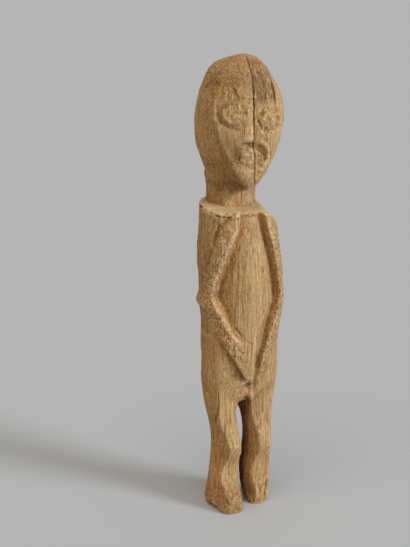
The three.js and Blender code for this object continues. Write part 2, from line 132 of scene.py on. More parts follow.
def ease(value, low, high):
    """0 below low, 1 above high and a smooth rise between; low may be the greater."""
    t = np.clip((value - low) / (high - low), 0, 1)
    return t * t * (3 - 2 * t)


def span(value, start, full, last, gone):
    """1 from full to last, easing down to 0 at start and at gone."""
    return ease(value, start, full) * ease(value, gone, last)


def worn_back():
    """Lays the worn points back on the figure, and gives the way its skin then faces."""
    figure.data.vertices.foreach_set("co", ((place + PITH) / MM).ravel())
    figure.data.update()
    return facing_of(figure)


close_up = figure.modifiers.new("close_up", "REMESH")
close_up.mode = "VOXEL"
close_up.voxel_size = GRAIN_PITCH
figure.data = settled(figure)
place, pairs = skin_of(figure)
points = len(place)
across, height = place[:, 0].copy(), place[:, 2].copy()
facing = worn_back()
to_front = -facing[:, 1]


def patch(x, z, half, tall):
    """1 at a place on the front, falling away over half mm across and tall mm up and down."""
    return np.exp(-(((across - x) / half) ** 2) - ((height - z) / tall) ** 2) * (to_front > -0.1)


def patches(spots):
    """Patches added together, each given as its strength and then as patch has it."""
    return sum(strength * patch(*spot) for strength, *spot in spots)


far_shoulder = np.exp(-(((across - 38) / 8) ** 2) - ((height - 322) / 9) ** 2)
thigh_tops = span(height, 114, 124, 156, 168) * ease(np.abs(across), 8, 16) * (to_front > 0)
rubbed = patches(RUBBED) + far_shoulder + thigh_tops
edge_tree = kdtree.KDTree(len(carved_edges))
for number, point in enumerate(carved_edges):
    edge_tree.insert(point, number)
edge_tree.balance()
from_edge = np.array([edge_tree.find(Vector(p))[2] for p in place + PITH])
rub = np.maximum(ease(from_edge, 0.4, EDGE_KEPT), np.clip(rubbed, 0, 1)) * (1 - EDGE_WEAR) + EDGE_WEAR
for _ in range(RUBS):
    place += (neighbour_mean(place) - place) * RUB_REACH * rub[:, None]
facing = worn_back()
to_front = -facing[:, 1]

# The adze's strokes and the grain. The adze left flat strokes, clearest on the head, down the sides and
# over the back. The softer wood has since worn from between the harder rings, which stand up as long
# ridges, and there is a fine tooth all over.
STROKES = 90
STROKE_REACH = 17  # mm from the middle of a stroke to where it dies out
STROKE_DEPTH = (0.25, 0.7)  # mm
STROKE_BITE = 3  # mm; wood that stands further past a stroke than this is another part of the body
CLEAR_OF_EDGE = 7  # mm between the middle of a stroke and any carved edge
LEGS_TOP, FOREHEAD = 135, 455  # mm up; strokes lie above the one, and on the front only above the other
LUMP_STEPS = np.array([73856093, 19349663, 83492791])  # primes that keep one lump from following the next
LUMP_SEED, LUMP_STIR = 2654435, 1274126177


def lumps(wide, tall, seed):
    """Smooth chance lumps from -1 to 1, wide mm across the grain and tall mm along it."""
    spot = place / np.array([wide, wide, tall]) + np.array([seed * 17.3, seed * 5.7, seed * 11.1])
    cell = np.floor(spot).astype(np.int64)
    within = spot - cell
    within = within * within * (3 - 2 * within)
    total = np.zeros(points)
    for corner in range(8):
        step = np.array([corner & 1, corner >> 1 & 1, corner >> 2 & 1])
        key = ((cell + step) * LUMP_STEPS).sum(1) + seed * LUMP_SEED
        key = (key ^ (key >> 13)) * LUMP_STIR & 0x7FFFFFFF
        lump = ((key ^ (key >> 16)) & 0xFFFF) / 32767.5 - 1
        total += lump * np.prod(np.where(step, within, 1 - within), 1)
    return total


def tops(wide, tall, seed, low=0.0, high=1.0):
    """The tops alone of chance lumps: 0 where a lump is under low, and 1 where it is over high."""
    return np.clip((lumps(wide, tall, seed) - low) / (high - low), 0, 1)


chance = np.random.default_rng(7)
upright = np.abs(facing[:, 2]) < 0.8
plain = upright & (from_edge > CLEAR_OF_EDGE) & ((to_front < 0.2) | (height > FOREHEAD))
for struck in chance.choice(np.flatnonzero(plain & (height > LEGS_TOP)), STROKES):
    way = facing[struck] + chance.normal(0, 0.05, 3)
    way /= np.linalg.norm(way)
    offset = place - place[struck]
    past = np.maximum(offset @ way + chance.uniform(*STROKE_DEPTH), 0)
    past[past > STROKE_BITE] = 0
    away = np.linalg.norm(offset, axis=1)
    place -= way * (past * ease(away, STROKE_REACH, STROKE_REACH * 0.7))[:, None]

across, height, forward = place[:, 0].copy(), place[:, 2].copy(), -place[:, 1]
facing = worn_back()
to_front, to_left = -facing[:, 1], -facing[:, 0]

rise = 0.22 * lumps(13, 24, 1)
ringed = 0.13 * lumps(1.8, 30, 2) + 0.16 * lumps(3.4, 46, 3)
rise += ringed * (1 - 0.75 * patch(-22, 127, 15, 17))
rise += 0.08 * lumps(1.9, 2.6, 21) + 0.06 * lumps(4, 6, 22)
coarse_pits = lumps(3.4, 4.4, 7)
fine_pits = lumps(2.2, 2.8, 8)


def pitted(coarse, fine):
    """Pits and crumbs in rough wood, each kind at its own height in mm."""
    return coarse * coarse_pits + fine * fine_pits


# The head. An egg of end grain and side grain with drying splits that run down from the crown. The
# forehead has weathered into short upright flakes, and a rough edge runs down the left temple.
MAIN_SPLIT = [
    (1.6, 498),
    (1.7, 486),
    (2.1, 474),
    (0.7, 455),
    (0.6, 431),
    (0, 415),
    (2.4, 394),
    (2.4, 378),
    (3.6, 361),
]
BROW_SPLIT = [(25.4, 484), (26.1, 471), (26.7, 459), (26.4, 447)]
LEFT_CHECK = [(-11, 494), (-9.6, 482), (-8.4, 471)]
RIGHT_CHECK = [(12.8, 492), (15, 485), (14.6, 472), (15.4, 462), (13.6, 452)]
SPLITS = (  # each with its width in mm and the share of its length that tapers at either end
    (MAIN_SPLIT, 2.3, 0.05),
    (BROW_SPLIT, 3.4, 0.25),
    (LEFT_CHECK, 2, 0.25),
    (RIGHT_CHECK, 2.6, 0.25),
)
SPLIT_DEPTHS = (1.4, 2.2, 0.6, 1.4)
FLAKED = ((1, -17, 462, 13, 9), (1, 12, 466, 14, 20), (0.6, 2, 486, 12, 9))
SHREDDED = (16, 466, 12, 18)
HOLLOW_TEMPLE = (-23, 474, 10, 11)
TEMPLE_EDGE = [(-36, 478), (-42, 452)]
TEMPLE_CHECKS = ([(-33, 469), (-37, 458), (-38, 447)], [(-39, 470), (-42.5, 459)])


def beside(line, stray=0.0):
    """Distance in mm from a line drawn on the front, and how far along it, from 0 to 1."""
    best = np.full(points, 1e9)
    along = np.zeros(points)
    for k, ((x0, z0), (x1, z1)) in enumerate(zip(line, line[1:])):
        x, z = across + stray - x0, height - z0
        t = np.clip((x * (x1 - x0) + z * (z1 - z0)) / ((x1 - x0) ** 2 + (z1 - z0) ** 2), 0, 1)
        away = np.hypot(x - t * (x1 - x0), z - t * (z1 - z0))
        nearer = away < best
        best[nearer] = away[nearer]
        along[nearer] = (k + t[nearer]) / (len(line) - 1)
    return best, along


def band(line, half):
    """1 along a line, falling away over half mm to each side."""
    return np.exp(-((beside(line)[0] / half) ** 2))


def ridge(line, half):
    """A band that lies on the front alone."""
    return band(line, half) * ease(to_front, -0.1, 0.15)


def groove(line, width, depth, ends=0.12, stray=0.0):
    """How deep a V-shaped cut along a line goes at each point of the front."""
    away, along = beside(line, stray)
    fade = np.clip(np.minimum(along + 0.02, 1.02 - along) / ends, 0, 1)
    open_to = width / 2 * (0.4 + 0.6 * fade)
    return depth * fade * np.clip(1 - away / open_to, 0, 1) * ease(to_front, -0.1, 0.15)


def splits(wider, depths):
    """How deep the drying splits go, each wandering a little; wider is in mm."""
    wander = (0.8 * lumps(3, 7, 20) + 0.4 * lumps(1.8, 3.5, 40)) * (1 + ease(height, 400, 380))
    deep = np.zeros(points)
    for (line, width, ends), depth in zip(SPLITS, depths):
        deep = np.maximum(deep, groove(line, width + wider, depth, ends, wander))
    return deep * ease(height, 364, 372)


cut = splits(0, SPLIT_DEPTHS) * (1 + 0.3 * lumps(6, 12, 34)) * (1 - 0.4 * ease(height, 400, 375))
brow = ease(height, 446, 456) * ease(to_front, 0, 0.4)
rise += (1.0 * tops(2.2, 8, 4, 0.1, 0.4) - 0.7 * tops(2.0, 13, 5)) * patches(FLAKED) * brow
rise += 0.7 * np.clip(lumps(1.9, 12, 41), -0.6, 0.6) * patch(*SHREDDED) * brow
rise -= 0.8 * patch(*HOLLOW_TEMPLE)
rise += 0.45 * lumps(3, 6, 6) * ease(beside(TEMPLE_EDGE)[0], 13, 5) * ease(to_front, -0.5, 0)
for line in TEMPLE_CHECKS:
    rise -= groove(line, 2.6, 0.9, 0.3) * (0.6 + 0.4 * lumps(3, 5, 23))

# The face. A flat shield with a sharp edge on the near side. The left eye is a worn oval with a swollen
# lower lid in a broad furrow, and the right one is broken up. The nose is only a low rough ridge.
FACE_EDGE = [
    (-36, 455),
    (-37, 438),
    (-34, 429),
    (-31.5, 419),
    (-27.7, 409),
    (-23.7, 399),
    (-20.6, 391),
    (-15.3, 383.5),
    (-10.9, 377),
    (-7, 369.5),
]
LEFT_EYE, RIGHT_EYE = (-21.5, 440.5), (17.5, 435)
LOWER_LID = [(-29, 446), (-29.5, 441.5), (-28, 438), (-24.5, 435)]
EYEBALL = [(-22, 439.5), (-14, 439.5)]
SLIT = [(-19.5, 444.2), (-14, 444), (-9, 443)]
NEAR_FURROW = [(-33, 449), (-34, 442), (-31.7, 434.4), (-25, 428.4), (-15, 427)]
BROW_FLAKE, NOSE_FLAKE = (-14.3, 449.5, 1.2, 2.6), (-2.2, 425, 1, 4)
RIGHT_EYE_FURROW = [(3, 445), (4.3, 437), (6.5, 431), (11, 427.7)]
RIGHT_EYE_RIM = [(2, 432), (4.8, 428.5), (9, 422.5)]
RIGHT_EYE_LOSSES = ((-1.2, 13.5, 426.5, 2.2, 2.8), (-1.2, 27, 436, 1.8, 5), (-0.7, 9, 441, 2, 3))
RIGHT_EYE_STUBS = ((0.9, 23, 427.5, 3, 1.6), (0.9, 10, 438, 1.5, 2))
NOSE, NOSE_FOOT = (-4, 424, 5, 14), (-5, 418, 5.5, 2.6)
NOSE_SHADE = [(-11, 411.5), (-6, 411), (-1.5, 412)]


def oval(centre, half, tall):
    """How far out from an oval's middle each point of the front is; its rim is at 1."""
    off_front = 9 * (to_front < 0.1) + 9 * (height < 366)
    return np.hypot((across - centre[0]) / half, (height - centre[1]) / tall) + off_front


rise += (0.3 + 0.35 * lumps(3, 5, 35)) * ridge(FACE_EDGE, 1.3)
rise -= 0.3 * ridge([(x - 3.5, z - 1) for x, z in FACE_EDGE], 2)
rise += 0.8 * ridge(LOWER_LID, 1.4) + 0.7 * ridge(EYEBALL, 1.1)
rise -= 0.9 * ridge(SLIT, 1.9) + 0.5 * ridge(NEAR_FURROW, 2)
rise += 1.0 * patch(*BROW_FLAKE) + 0.9 * patch(-5.8, 445, 1.1, 2.4)
worn_eye = ease(oval(LEFT_EYE, 14, 12), 1.3, 0.9) * ease(across, -30, -22)
rise += (pitted(0.25, 0.3) + 0.4 * lumps(1.8, 9, 36)) * worn_eye
broken_eye = ease(oval(RIGHT_EYE, 15, 13), 1.15, 0.85)
rise += (pitted(0.6, 0.4) + 1.0 * lumps(2.6, 4.6, 34)) * broken_eye
rise += 0.9 * ridge(RIGHT_EYE_RIM, 1.1) - 0.6 * ridge(RIGHT_EYE_FURROW, 1.5)
rise += patches(RIGHT_EYE_LOSSES) + patches(RIGHT_EYE_STUBS)
rise += pitted(0.5, 0.5) * patch(*NOSE) + 0.5 * patch(-4.4, 424, 2.2, 6)
rise += 0.7 * patch(*NOSE_FOOT) + 0.7 * patch(*NOSE_FLAKE) - 0.9 * ridge(NOSE_SHADE, 1.8)

# The mouth and chin. The mouth is an oval that the main split parts in two: the near half is filled with
# rough lips, and the far half is a pit with a sharp rim. The chin below is picked and flaked.
MOUTH, PIT = (-2, 399), (8, 399.5)
INNER_LIP = [(3, 408.5), (7, 405), (11, 401.5), (13.4, 399), (14, 395)]
FAR_SLOPE = [(11.5, 411), (15, 406), (16, 399)]
far_half = ease(across, 0.5, 2.5)
pit = oval(PIT, 8.2, 12.4) + 0.12 * lumps(5, 5, 37)
rise -= (0.6 + pitted(0.7, 0.5)) * ease(pit, 1.0, 0.75) * far_half
rise += 1.2 * ridge(FAR_SLOPE, 2.8) - groove(INNER_LIP, 2.4, 1.0, 0.25)
rise += pitted(0.6, 0.6) * patch(13, 403, 5, 8)
rise += (1.2 + 0.5 * fine_pits) * np.exp(-(((pit - 1.12) / 0.13) ** 2)) * ease(across, 5, 10)
rise += 1.0 * patch(11.3, 391.5, 2.4, 1.8)
lips = ease(oval((-6.5, 397), 8.5, 12), 1.1, 0.75) * (1 - far_half)
rise += (0.5 + pitted(0.7, 0.85)) * lips
rise += (0.5 * fine_pits + 0.6 * lumps(2.6, 6, 44)) * patch(-2, 376, 9, 9)

# The neck and shoulders. The neck is left rough from the knife, and the square rim of the shoulders is
# chipped along the front, with the cut below it undermined.
RIM = [(-44, 346), (-40.6, 344.2), (-34.5, 340.5), (-24.8, 338.3), (-10, 337.2), (4, 337.5)]
RIM_CHIPS = ((-1.1, -3.5, 336.5, 3.5, 1.4), (-0.9, 6, 336, 3, 1.2))


def under_rim():
    """The chipped line just below the rim of the near shoulder."""
    chips = ease(lumps(3.5, 4, 25), -0.7, 0.1) * ease(across, -22, -26)
    return band([(x, z - 2.4) for x, z in RIM[:4]], 1.4) * chips * ease(to_front + to_left, 0.2, 0.7)


neck = span(height, 344, 348, 360, 366)
rise += (0.45 * lumps(4, 8, 9) + 0.3 * fine_pits + 0.6 * lumps(2.2, 14, 45) * ease(across, -8, 0)) * neck
rise -= 1.0 * tops(3, 4, 24, 0.3, 1.3) * neck * ease(across, 0, -8)
rise -= (1.3 + 0.6 * coarse_pits) * under_rim()
rise += pitted(0.7, 0.45) * ridge(RIM, 2.6) + 0.8 * fine_pits * ridge(RIM[3:], 3)
rise += patches(RIM_CHIPS)

# The arms. They stand a few millimetres proud round the belly, their faces rough with knife work and old
# insect damage, with a crisp inner edge and a shallow broken line outside.
CREST = [
    (-13, 348),
    (-14, 327),
    (-22, 309),
    (-31.5, 287),
    (-37.5, 268),
    (-40.3, 251),
    (-37, 240),
    (-29.6, 227),
    (-20.5, 209),
    (-10, 199),
]
UPPER_ARM = [(-22, 328), (-31, 300), (-37, 275), (-41.5, 250)]
FOREARM = [(-41, 240), (-35, 225), (-25, 206), (-13, 188)]
FAR_UPPER_ARM = [(22, 326), (31, 300), (37, 272), (40, 250)]
FAR_FOREARM = [(39, 240), (33, 222), (26, 204), (18, 186)]
OUTER_LINE = [(-24, 336), (-33.7, 326), (-38, 311), (-40.8, 298), (-43.5, 286), (-45.5, 270), (-46.2, 254)]


def gnawed():
    """Where the arms have been eaten and picked rough."""
    rough = np.zeros(points)
    for line, half in ((UPPER_ARM, 8), (FOREARM, 8), (FAR_UPPER_ARM, 7), (FAR_FOREARM, 7)):
        rough = np.maximum(rough, ease(beside(line)[0], half + 2, half - 3))
    return rough * ease(to_front, -0.2, 0.2) * ease(height, 338, 306)


rough_arm = gnawed()
crest = ridge(CREST, 2.6)
bored = lumps(2.6, 3.2, 26)
eaten = tops(2.6, 3.2, 27, 0.2, 0.6)
rise += (0.35 * bored + 0.45 * fine_pits - 0.6 * eaten) * rough_arm * (1 - 0.6 * crest)
rise += (0.3 + 0.25 * bored) * crest
rise += 0.2 * (bored + fine_pits) * ridge(UPPER_ARM, 10) * (1 - crest)
near_side = ease(to_left, 0.3, 0.75) * span(height, 228, 236, 334, 342)
rise -= (0.5 * tops(2.6, 5, 28, 0.3, 0.6) + 0.12 * bored) * near_side
rise -= 1.3 * ridge(OUTER_LINE, 2.2) * ease(lumps(4, 9, 10), -0.7, 0.3)

# The belly and hands. The belly is the smoothest place, with only fine upright grain and a few knife
# slips. The hands come to a pocked point over a small knob, with a pocket cut in above it.
SLIPS = (  # each with its width and depth in mm
    ([(-17.5, 219), (-15, 214.5), (-9, 207)], 4, 1.6),
    ([(-8, 205), (3.2, 197)], 3, 0.5),
    ([(17.5, 192), (18.2, 168)], 1.8, 0.8),
    ([(9, 250), (10, 230), (9, 212)], 1.8, 0.6),
    ([(7, 318), (8, 290), (8.5, 268)], 1.8, 0.6),
)
UNDER_ARM = [(-34.5, 209), (-30, 202), (-21.5, 187), (-13.6, 172), (-6.1, 158)]
BESIDE_HANDS = [(11, 168), (9.5, 156), (9, 142)]
belly = ease(beside([(0, 322), (0, 222)])[0], 30, 20) * ease(to_front, 0.3, 0.7) * (1 - rough_arm)
hairlines = np.exp(-((lumps(2.2, 44, 11) / 0.1) ** 2))
rise -= 0.4 * hairlines * belly * ease(lumps(9, 30, 29), -0.5, 0.2)
for line, width, depth in SLIPS:
    rise -= groove(line, width, depth, 0.3)
hands = ease(beside([(-14, 188), (0, 162)])[0], 14, 7) * ease(to_front, 0, 0.3)
rise += (pitted(0.35, 0.25) + 0.3 * lumps(2, 12, 33)) * hands
rise += 0.8 * patch(4, 137, 3, 4) - 3.2 * patch(1.6, 147.5, 4.2, 3.8)
rise -= 1.8 * ridge(BESIDE_HANDS, 2.2) + 1.2 * ridge([(-6, 158), (-2.9, 152.5)], 1.8)
rise -= 0.8 * ridge(UNDER_ARM, 2.6)

# The hips and legs. Upright grain has split and worn into ribs, and a crack runs down the near thigh. The
# far leg is a little fuller on the side that faces the near one.
THIGH_CRACK = [(-31.6, 152), (-31.4, 135), (-31.6, 119), (-32, 103)]
HIP_CHECK = [(-37, 176), (-37.5, 140)]
shins = ease(height, 128, 98)
ribs = np.exp(-((lumps(2.4, 40, 12) / 0.16) ** 2))
rise -= 0.4 * ribs * shins * ease(lumps(12, 30, 13), -0.3, 0.4)
rise += 0.3 * lumps(2.1, 16, 14) * (0.4 * ease(height, 178, 140) + 0.6 * shins)
ragged = lumps(3, 8, 30)
rise -= groove(THIGH_CRACK, 2.6, 1.1, 0.3, 0.6 * ragged) + 0.5 * ridge(HIP_CHECK, 1.4) * ragged
fuller = ease(to_left, 0.2, 0.7) * span(across, -5, -3, 9, 13)
rise += 1.2 * fuller * np.exp(-(((height - 116) / 12) ** 2))

# The feet. Their end grain is crumbling, and a chip has gone from the near heel. The far foot has lost its
# front, and a sliver has parted from its outer side.
SLIVER = [(29.5, 27), (28.2, 18), (27, 8)]
feet = span(height, 0.2, 2.5, 16, 40)
crumbled = tops(2.6, 3.4, 31, 0.2, 0.55)
rise += (pitted(0.35, 0.25) + 0.3 * lumps(2.2, 9, 15) - 0.6 * crumbled) * feet
rise -= 1.2 * tops(5, 6, 32) * span(height, 0.1, 0.8, 3, 9)
worn_foot = ease(height, 30, 12) * ease(across, 4, 9) * ease(to_front, 0.1, 0.5)
rise -= (0.9 + 1.2 * lumps(5, 12, 16)) * worn_foot * ease(height, 0.2, 2)
rise -= 3.0 * ridge(SLIVER, 1.3)
cut += 3.4 * np.exp(-(((across + 34) / 6) ** 2) - ((forward - 8) / 8) ** 2 - (height / 4.5) ** 2)

# The finished surface. The relief is cut into the wood, the soles are level where they bear, and nothing
# stands out past the billet that the figure was cut from.
TRIANGLES = 192000  # in the finished skin
place += facing * (rise - cut)[:, None]
low, high = (np.array(corner) * MM - PITH for corner in solid_box)
place = np.clip(place, low, high)
worn_back()
thinned = figure.modifiers.new("thinned", "DECIMATE")
thinned.ratio = min(1.0, TRIANGLES / (2 * len(figure.data.polygons)))
figure.data = settled(figure)

# What age has done to the colour, with painted light and shade worked in. Dirt lies in the hollows,
# handling has rubbed the edges pale and the forehead has weathered grey, while shade is painted onto the
# sides that face away from the window and between and under the parts, and light onto the tops and crests
# that face it.
place, pairs = skin_of(figure)
points = len(place)
across, height, forward = place[:, 0], place[:, 2], -place[:, 1]
facing = facing_of(figure)
to_front = -facing[:, 1]
for _ in range(4):
    facing += (neighbour_mean(facing) - facing) * 0.8
to_left, to_top = -facing[:, 0], facing[:, 2]


def bend(rubs):
    """How far each point lies below (positive) or above (negative) the skin around it, in mm."""
    smooth = place.copy()
    for _ in range(rubs):
        smooth += (neighbour_mean(smooth) - smooth) * 0.7
    return ((smooth - place) * facing).sum(1)


# Where painted light and shade lie: painted light on the up-facing top of the shoulders, and painted shade
# on the insides of the legs and under the fork between them, on the cut faces of the arms round the belly,
# and on the sides that face away from the window.
FAR_WALL = [
    (12, 335),
    (19.5, 316),
    (26, 293),
    (30.5, 268),
    (33, 249),
    (29, 230),
    (20.5, 207),
    (13, 183),
    (7.5, 163),
]
fine, wide = bend(3), bend(40)
# Painted light: the up-facing top of the shoulders, painted paler as if lit from above.
lit_shelf = ease(to_top, 0.5, 0.8) * span(height, 318, 326, 346, 352)
# Painted shade: the insides of the legs, where they face each other.
shade_between_legs = ease(height, 139, 132) * span(across, -4.5, -2.5, 22, 27) * ease(to_left, 0.15, 0.5)
# Painted shade: the down-facing underside of the fork between the legs.
shade_under_arch = ease(to_top, -0.2, -0.6) * span(height, 118, 124, 140, 146) * ease(across, 11, 6)
shade_under_arch *= ease(to_front, 0.6, 0.3)
# Painted warm shade: the cut faces of the arms round the belly.
near_shaded_wall = band([(x + 5.5, z) for x, z in CREST], 4.2)
shaded_walls = np.maximum(near_shaded_wall, band(FAR_WALL, 3.6)) * ease(to_front, 0, 0.3)
# Painted shade: the sides that face the viewer's left, away from the window.
shaded_near_sides = ease(to_left, 0.3, 0.6)
near_leg = ease(across, 0, -4)
mouth_slope = patch(-18, 401, 6, 12)
picked = gnawed()

# Dirt in the hollows, about the mouth and in every crack, and painted shade between the legs, under the
# fork, under the jaw and chin, below the shoulder rim, beside the nose, in the pocket over the knob and
# under the left eye's lid.
GRIMY_AND_SHADED = (
    (0.16, -22, 477, 13, 12),  # the hollow temple and the crown
    (0.2, -2, 494, 18, 8),
    # Painted shade beside the nose and in the pocket over the knob.
    (0.3, 2.8, 424, 2, 5),  # beside the nose
    (0.3, 1.6, 147.5, 4.5, 4),  # the pocket over the knob
)
grime_and_shade = np.clip(fine * 2.4, 0, 1) * 0.5 + np.clip(wide * 0.4, 0, 1) * 0.45 * (1 - 0.7 * lit_shelf)
# Painted shade on the insides of the legs, deepest at their back, near the fork and low on the far leg,
# and under the fork itself.
grime_and_shade += 0.62 * shade_between_legs * ease(forward + 0.07 * (130 - height), 15, 7) + 0.95 * shade_under_arch
grime_and_shade += 0.75 * ease(height, 96, 118) * shade_between_legs * ease(across, 11, 4)
grime_and_shade += 0.42 * shade_between_legs * ease(height, 85, 55) * ease(across, 13, 6)
grime_and_shade *= 1 - 0.7 * np.maximum(shaded_walls, patch(11, 401, 8, 11))
grime_and_shade += patches(GRIMY_AND_SHADED) + 0.42 * mouth_slope + 0.16 * ease(height, 40, 14) * near_leg
# Painted shade under the jaw and under the chin's tip.
grime_and_shade += 0.5 * patch(-11, 368, 14, 4) * ease(to_top, 0.1, -0.4)
grime_and_shade += 0.35 * patch(-9, 364, 6, 3) * ease(to_front, 0.9, 0.6)
# Painted shadow in the chipped line below the shoulder rim; dirt in the chips along the front of the rim.
grime_and_shade += 0.9 * under_rim() + 0.55 * ridge(RIM[3:], 2.6) * ease(lumps(2.4, 2, 43), -0.1, 0.5)
# Painted shadow under the left eye's lid along its slit; dirt in the furrow round that eye and inside the
# lip.
grime_and_shade += 0.16 * ridge(SLIT, 1.8) + 0.25 * ridge(NEAR_FURROW, 2) + 0.3 * ridge(INNER_LIP, 1)
grime_and_shade += 0.4 * ridge(THIGH_CRACK, 0.9) + ease(splits(0.3, (0.85, 0.9, 0.3, 0.6)), 0, 0.9)

# Pale rubbed wood on whatever stands up and down the belly's lit side, with painted light on the up-facing
# top of the shoulders and the lit front of the neck, and painted highlights along the near arm's crest,
# the face edge and the mouth's rim.
PALED_AND_LIT = (
    # Painted light on the lit front of the neck.
    (0.3, 5, 352, 7, 9),  # the front of the neck
    (0.45, -5, 396, 6, 11),  # the lips and the mouth's far slope
    (0.3, 14, 403, 4, 8),
    (0.4, *NOSE_FOOT),
    (0.8, *NOSE_FLAKE),
    (0.6, *BROW_FLAKE),
    (0.3, -4, 378, 4, 8),  # the chin
)
MOUTH_RIM = [(13.5, 391), (16.5, 397), (16.5, 402)]
FAR_ARM_TOP = [(19.5, 332), (22, 322), (24, 313)]
streak = np.exp(-(((across - 9.5) / 5) ** 2)) * span(height, 196, 225, 326, 340)
paled_and_lit = np.clip(-fine * 2.0, 0, 1) * 0.45 + np.clip(-wide * 0.55, 0, 1) * 0.5
# Painted light on the up-facing top of the shoulders.
paled_and_lit += 0.8 * lit_shelf + patches(PALED_AND_LIT) + 0.18 * streak * ease(to_front, 0.4, 0.7)
# Rubbed pale along the near arm's crest, with a painted highlight where it faces the window.
paled_and_lit += 0.65 * ridge(CREST, 3) * ease(lumps(2.4, 3, 26), -0.9, 0.2)
# Rubbed pale along the face edge, with a painted highlight along it.
paled_and_lit += 0.5 * ridge(FACE_EDGE, 1.1) * ease(lumps(3, 5, 35), -0.8, 0.2)
# A painted highlight on the lit rim of the mouth's pit; rubbed wood on top of the far arm.
paled_and_lit += 0.8 * ridge(MOUTH_RIM, 1.3) + 0.6 * ridge(FAR_ARM_TOP, 1.7)

# The brown skin that is left on the temple, the crown, the foot and the back, and painted shade on the
# near sides, the near side of the neck and jaw, the cut faces of the arms round the belly and the arms'
# outer groove.
SKINNED = (
    (1.3, -22, 478, 14, 14),  # the hollow temple and the crown
    (1.2, -2, 494, 18, 8),
    (0.7, 30, 326, 7, 9),  # the cap of the far shoulder
)
# Painted shade on the sides that face away from the window, on the cut faces of the arms round the belly
# and along the arms' outer groove.
patina_and_shade = shaded_near_sides * (0.64 - 0.35 * picked) + shaded_walls * 0.4 + 0.7 * ridge(OUTER_LINE, 3.4)
patina_and_shade += patches(SKINNED) + 1.5 * mouth_slope + 0.9 * ease(height, 42, 18) * near_leg
# Painted shade on the near side of the neck, jaw and cheek.
patina_and_shade += 0.35 * span(height, 340, 350, 385, 425) * ease(to_left, 0.2, 0.6)
patina_and_shade += 0.18 * lumps(16, 30, 17) + ease(to_front, 0.1, -0.3) * 0.35
patina_and_shade = np.clip(patina_and_shade * (1 - 0.8 * lit_shelf), 0, 1)

# Grey weathered wood over the right brow, streaked with rust where flakes have come away.
dry = (ease(np.abs(across - 13), 18, 8) + 0.45 * patch(-6, 476, 9, 13)) * ease(to_front, -0.2, 0.3)
dry *= span(height, 444, 460, 488, 499)
dry_streaks = dry * ease(lumps(2.2, 14, 42), 0.1, 0.5)
dry = dry * (1 - dry_streaks)

# Orange wood, where a cut is fresher or the skin is thin, and painted warm shade on the cut faces of the
# arms round the belly, the insides of the legs and the near sides.
RUSTED = (
    (0.7, -44, 247, 6, 7),  # the near elbow
    (0.6, 10, 484, 5, 10),  # the crown by the right check
    (0.6, 9, 400, 6, 10),  # the mouth's pit and its far slope
    (0.5, 14, 404, 4, 8),
)
# Painted warm shade on the cut faces of the arms round the belly and on the insides of the legs.
rusty_and_warm_shade = shaded_walls + shade_between_legs + patches(RUSTED) + 0.4 * mouth_slope + 0.6 * dry_streaks
rusty_and_warm_shade += 0.8 * ease(beside([(-8, 494), (10, 488)])[0], 13, 6) + 0.4 * ease(height, 26, 8)
# Painted warm shade on the near sides, fullest low down on the hips and legs and patchy above.
rusty_and_warm_shade += shaded_near_sides * (0.55 * ease(height, 230, 200) + 0.5 * ease(lumps(9, 16, 38), -0.2, 0.6))
rusty_and_warm_shade += 0.35 * ease(lumps(7, 12, 39), 0, 0.7)

# Grit in the roughest wood: the arms, the right eye, the mouth, the brow and the feet.
grit = 0.8 * picked + 0.6 * ease(oval(RIGHT_EYE, 16, 14), 1.15, 0.8)
grit += 0.7 * ease(oval(MOUTH, 19, 14), 1.1, 0.8)
grit += 0.15 * ease(height, 38, 18) + 0.35 * ease(height, 440, 470) + 0.2 * ease(to_left, 0.4, 0.8)

coats = {"grime_and_shade": grime_and_shade, "paled_and_lit": paled_and_lit, "patina_and_shade": patina_and_shade, "rusty_and_warm_shade": rusty_and_warm_shade, "dry": dry, "grit": grit}
for name, values in coats.items():
    values = np.clip(values, 0, 1).astype(np.float32)
    figure.data.attributes.new(name, "FLOAT", "POINT").data.foreach_set("value", values)
figure.data.shade_smooth()

# The wood. Bare, dry, open-grained hardwood: tan where it is rubbed, paler where light is painted on,
# brown under old skin and where shade is painted on, orange in fresher cuts and in painted warm shade,
# grey where it has weathered longest, with dark pores and streaks that follow the grain.
TAN = (0.405, 0.25, 0.106, 1)
DEEP_TAN = (0.34, 0.185, 0.07, 1)
BROWN = (0.22, 0.1, 0.024, 1)
# Orange for rust and for painted warm shade.
RUST_AND_WARM_SHADE = (0.38, 0.165, 0.04, 1)
GREY = (0.115, 0.062, 0.028, 1)
PALE = (0.61, 0.435, 0.24, 1)
DARK = (0.13, 0.055, 0.018, 1)
# Dark for dirt and for painted shade.
GRIME_AND_SHADE = (0.06, 0.024, 0.009, 1)
FIBRE_STRENGTH = 0.8
FIBRE_HEIGHT = 0.0005  # m

wood = bpy.data.materials.new("weathered_hardwood")
wood.use_nodes = True
tree = wood.node_tree
shader = tree.nodes["Principled BSDF"]
where = tree.nodes.new("ShaderNodeTexCoord").outputs["Object"]


def figured(scale, detail=3.0):
    """A chance figure in the wood, its scale in lumps a metre along each axis."""
    stretch = tree.nodes.new("ShaderNodeMapping")
    stretch.inputs["Scale"].default_value = scale
    noise = tree.nodes.new("ShaderNodeTexNoise")
    noise.inputs["Scale"].default_value = 1
    noise.inputs["Detail"].default_value = detail
    tree.links.new(where, stretch.inputs["Vector"])
    tree.links.new(stretch.outputs["Vector"], noise.inputs["Vector"])
    return noise.outputs["Fac"]


def between(value, low, high, start=0.0, end=1.0):
    """Runs from start to end as the value goes from low to high."""
    node = tree.nodes.new("ShaderNodeMapRange")
    for socket, number in zip(("From Min", "From Max", "To Min", "To Max"), (low, high, start, end)):
        node.inputs[socket].default_value = number
    tree.links.new(value, node.inputs["Value"])
    return node.outputs["Result"]


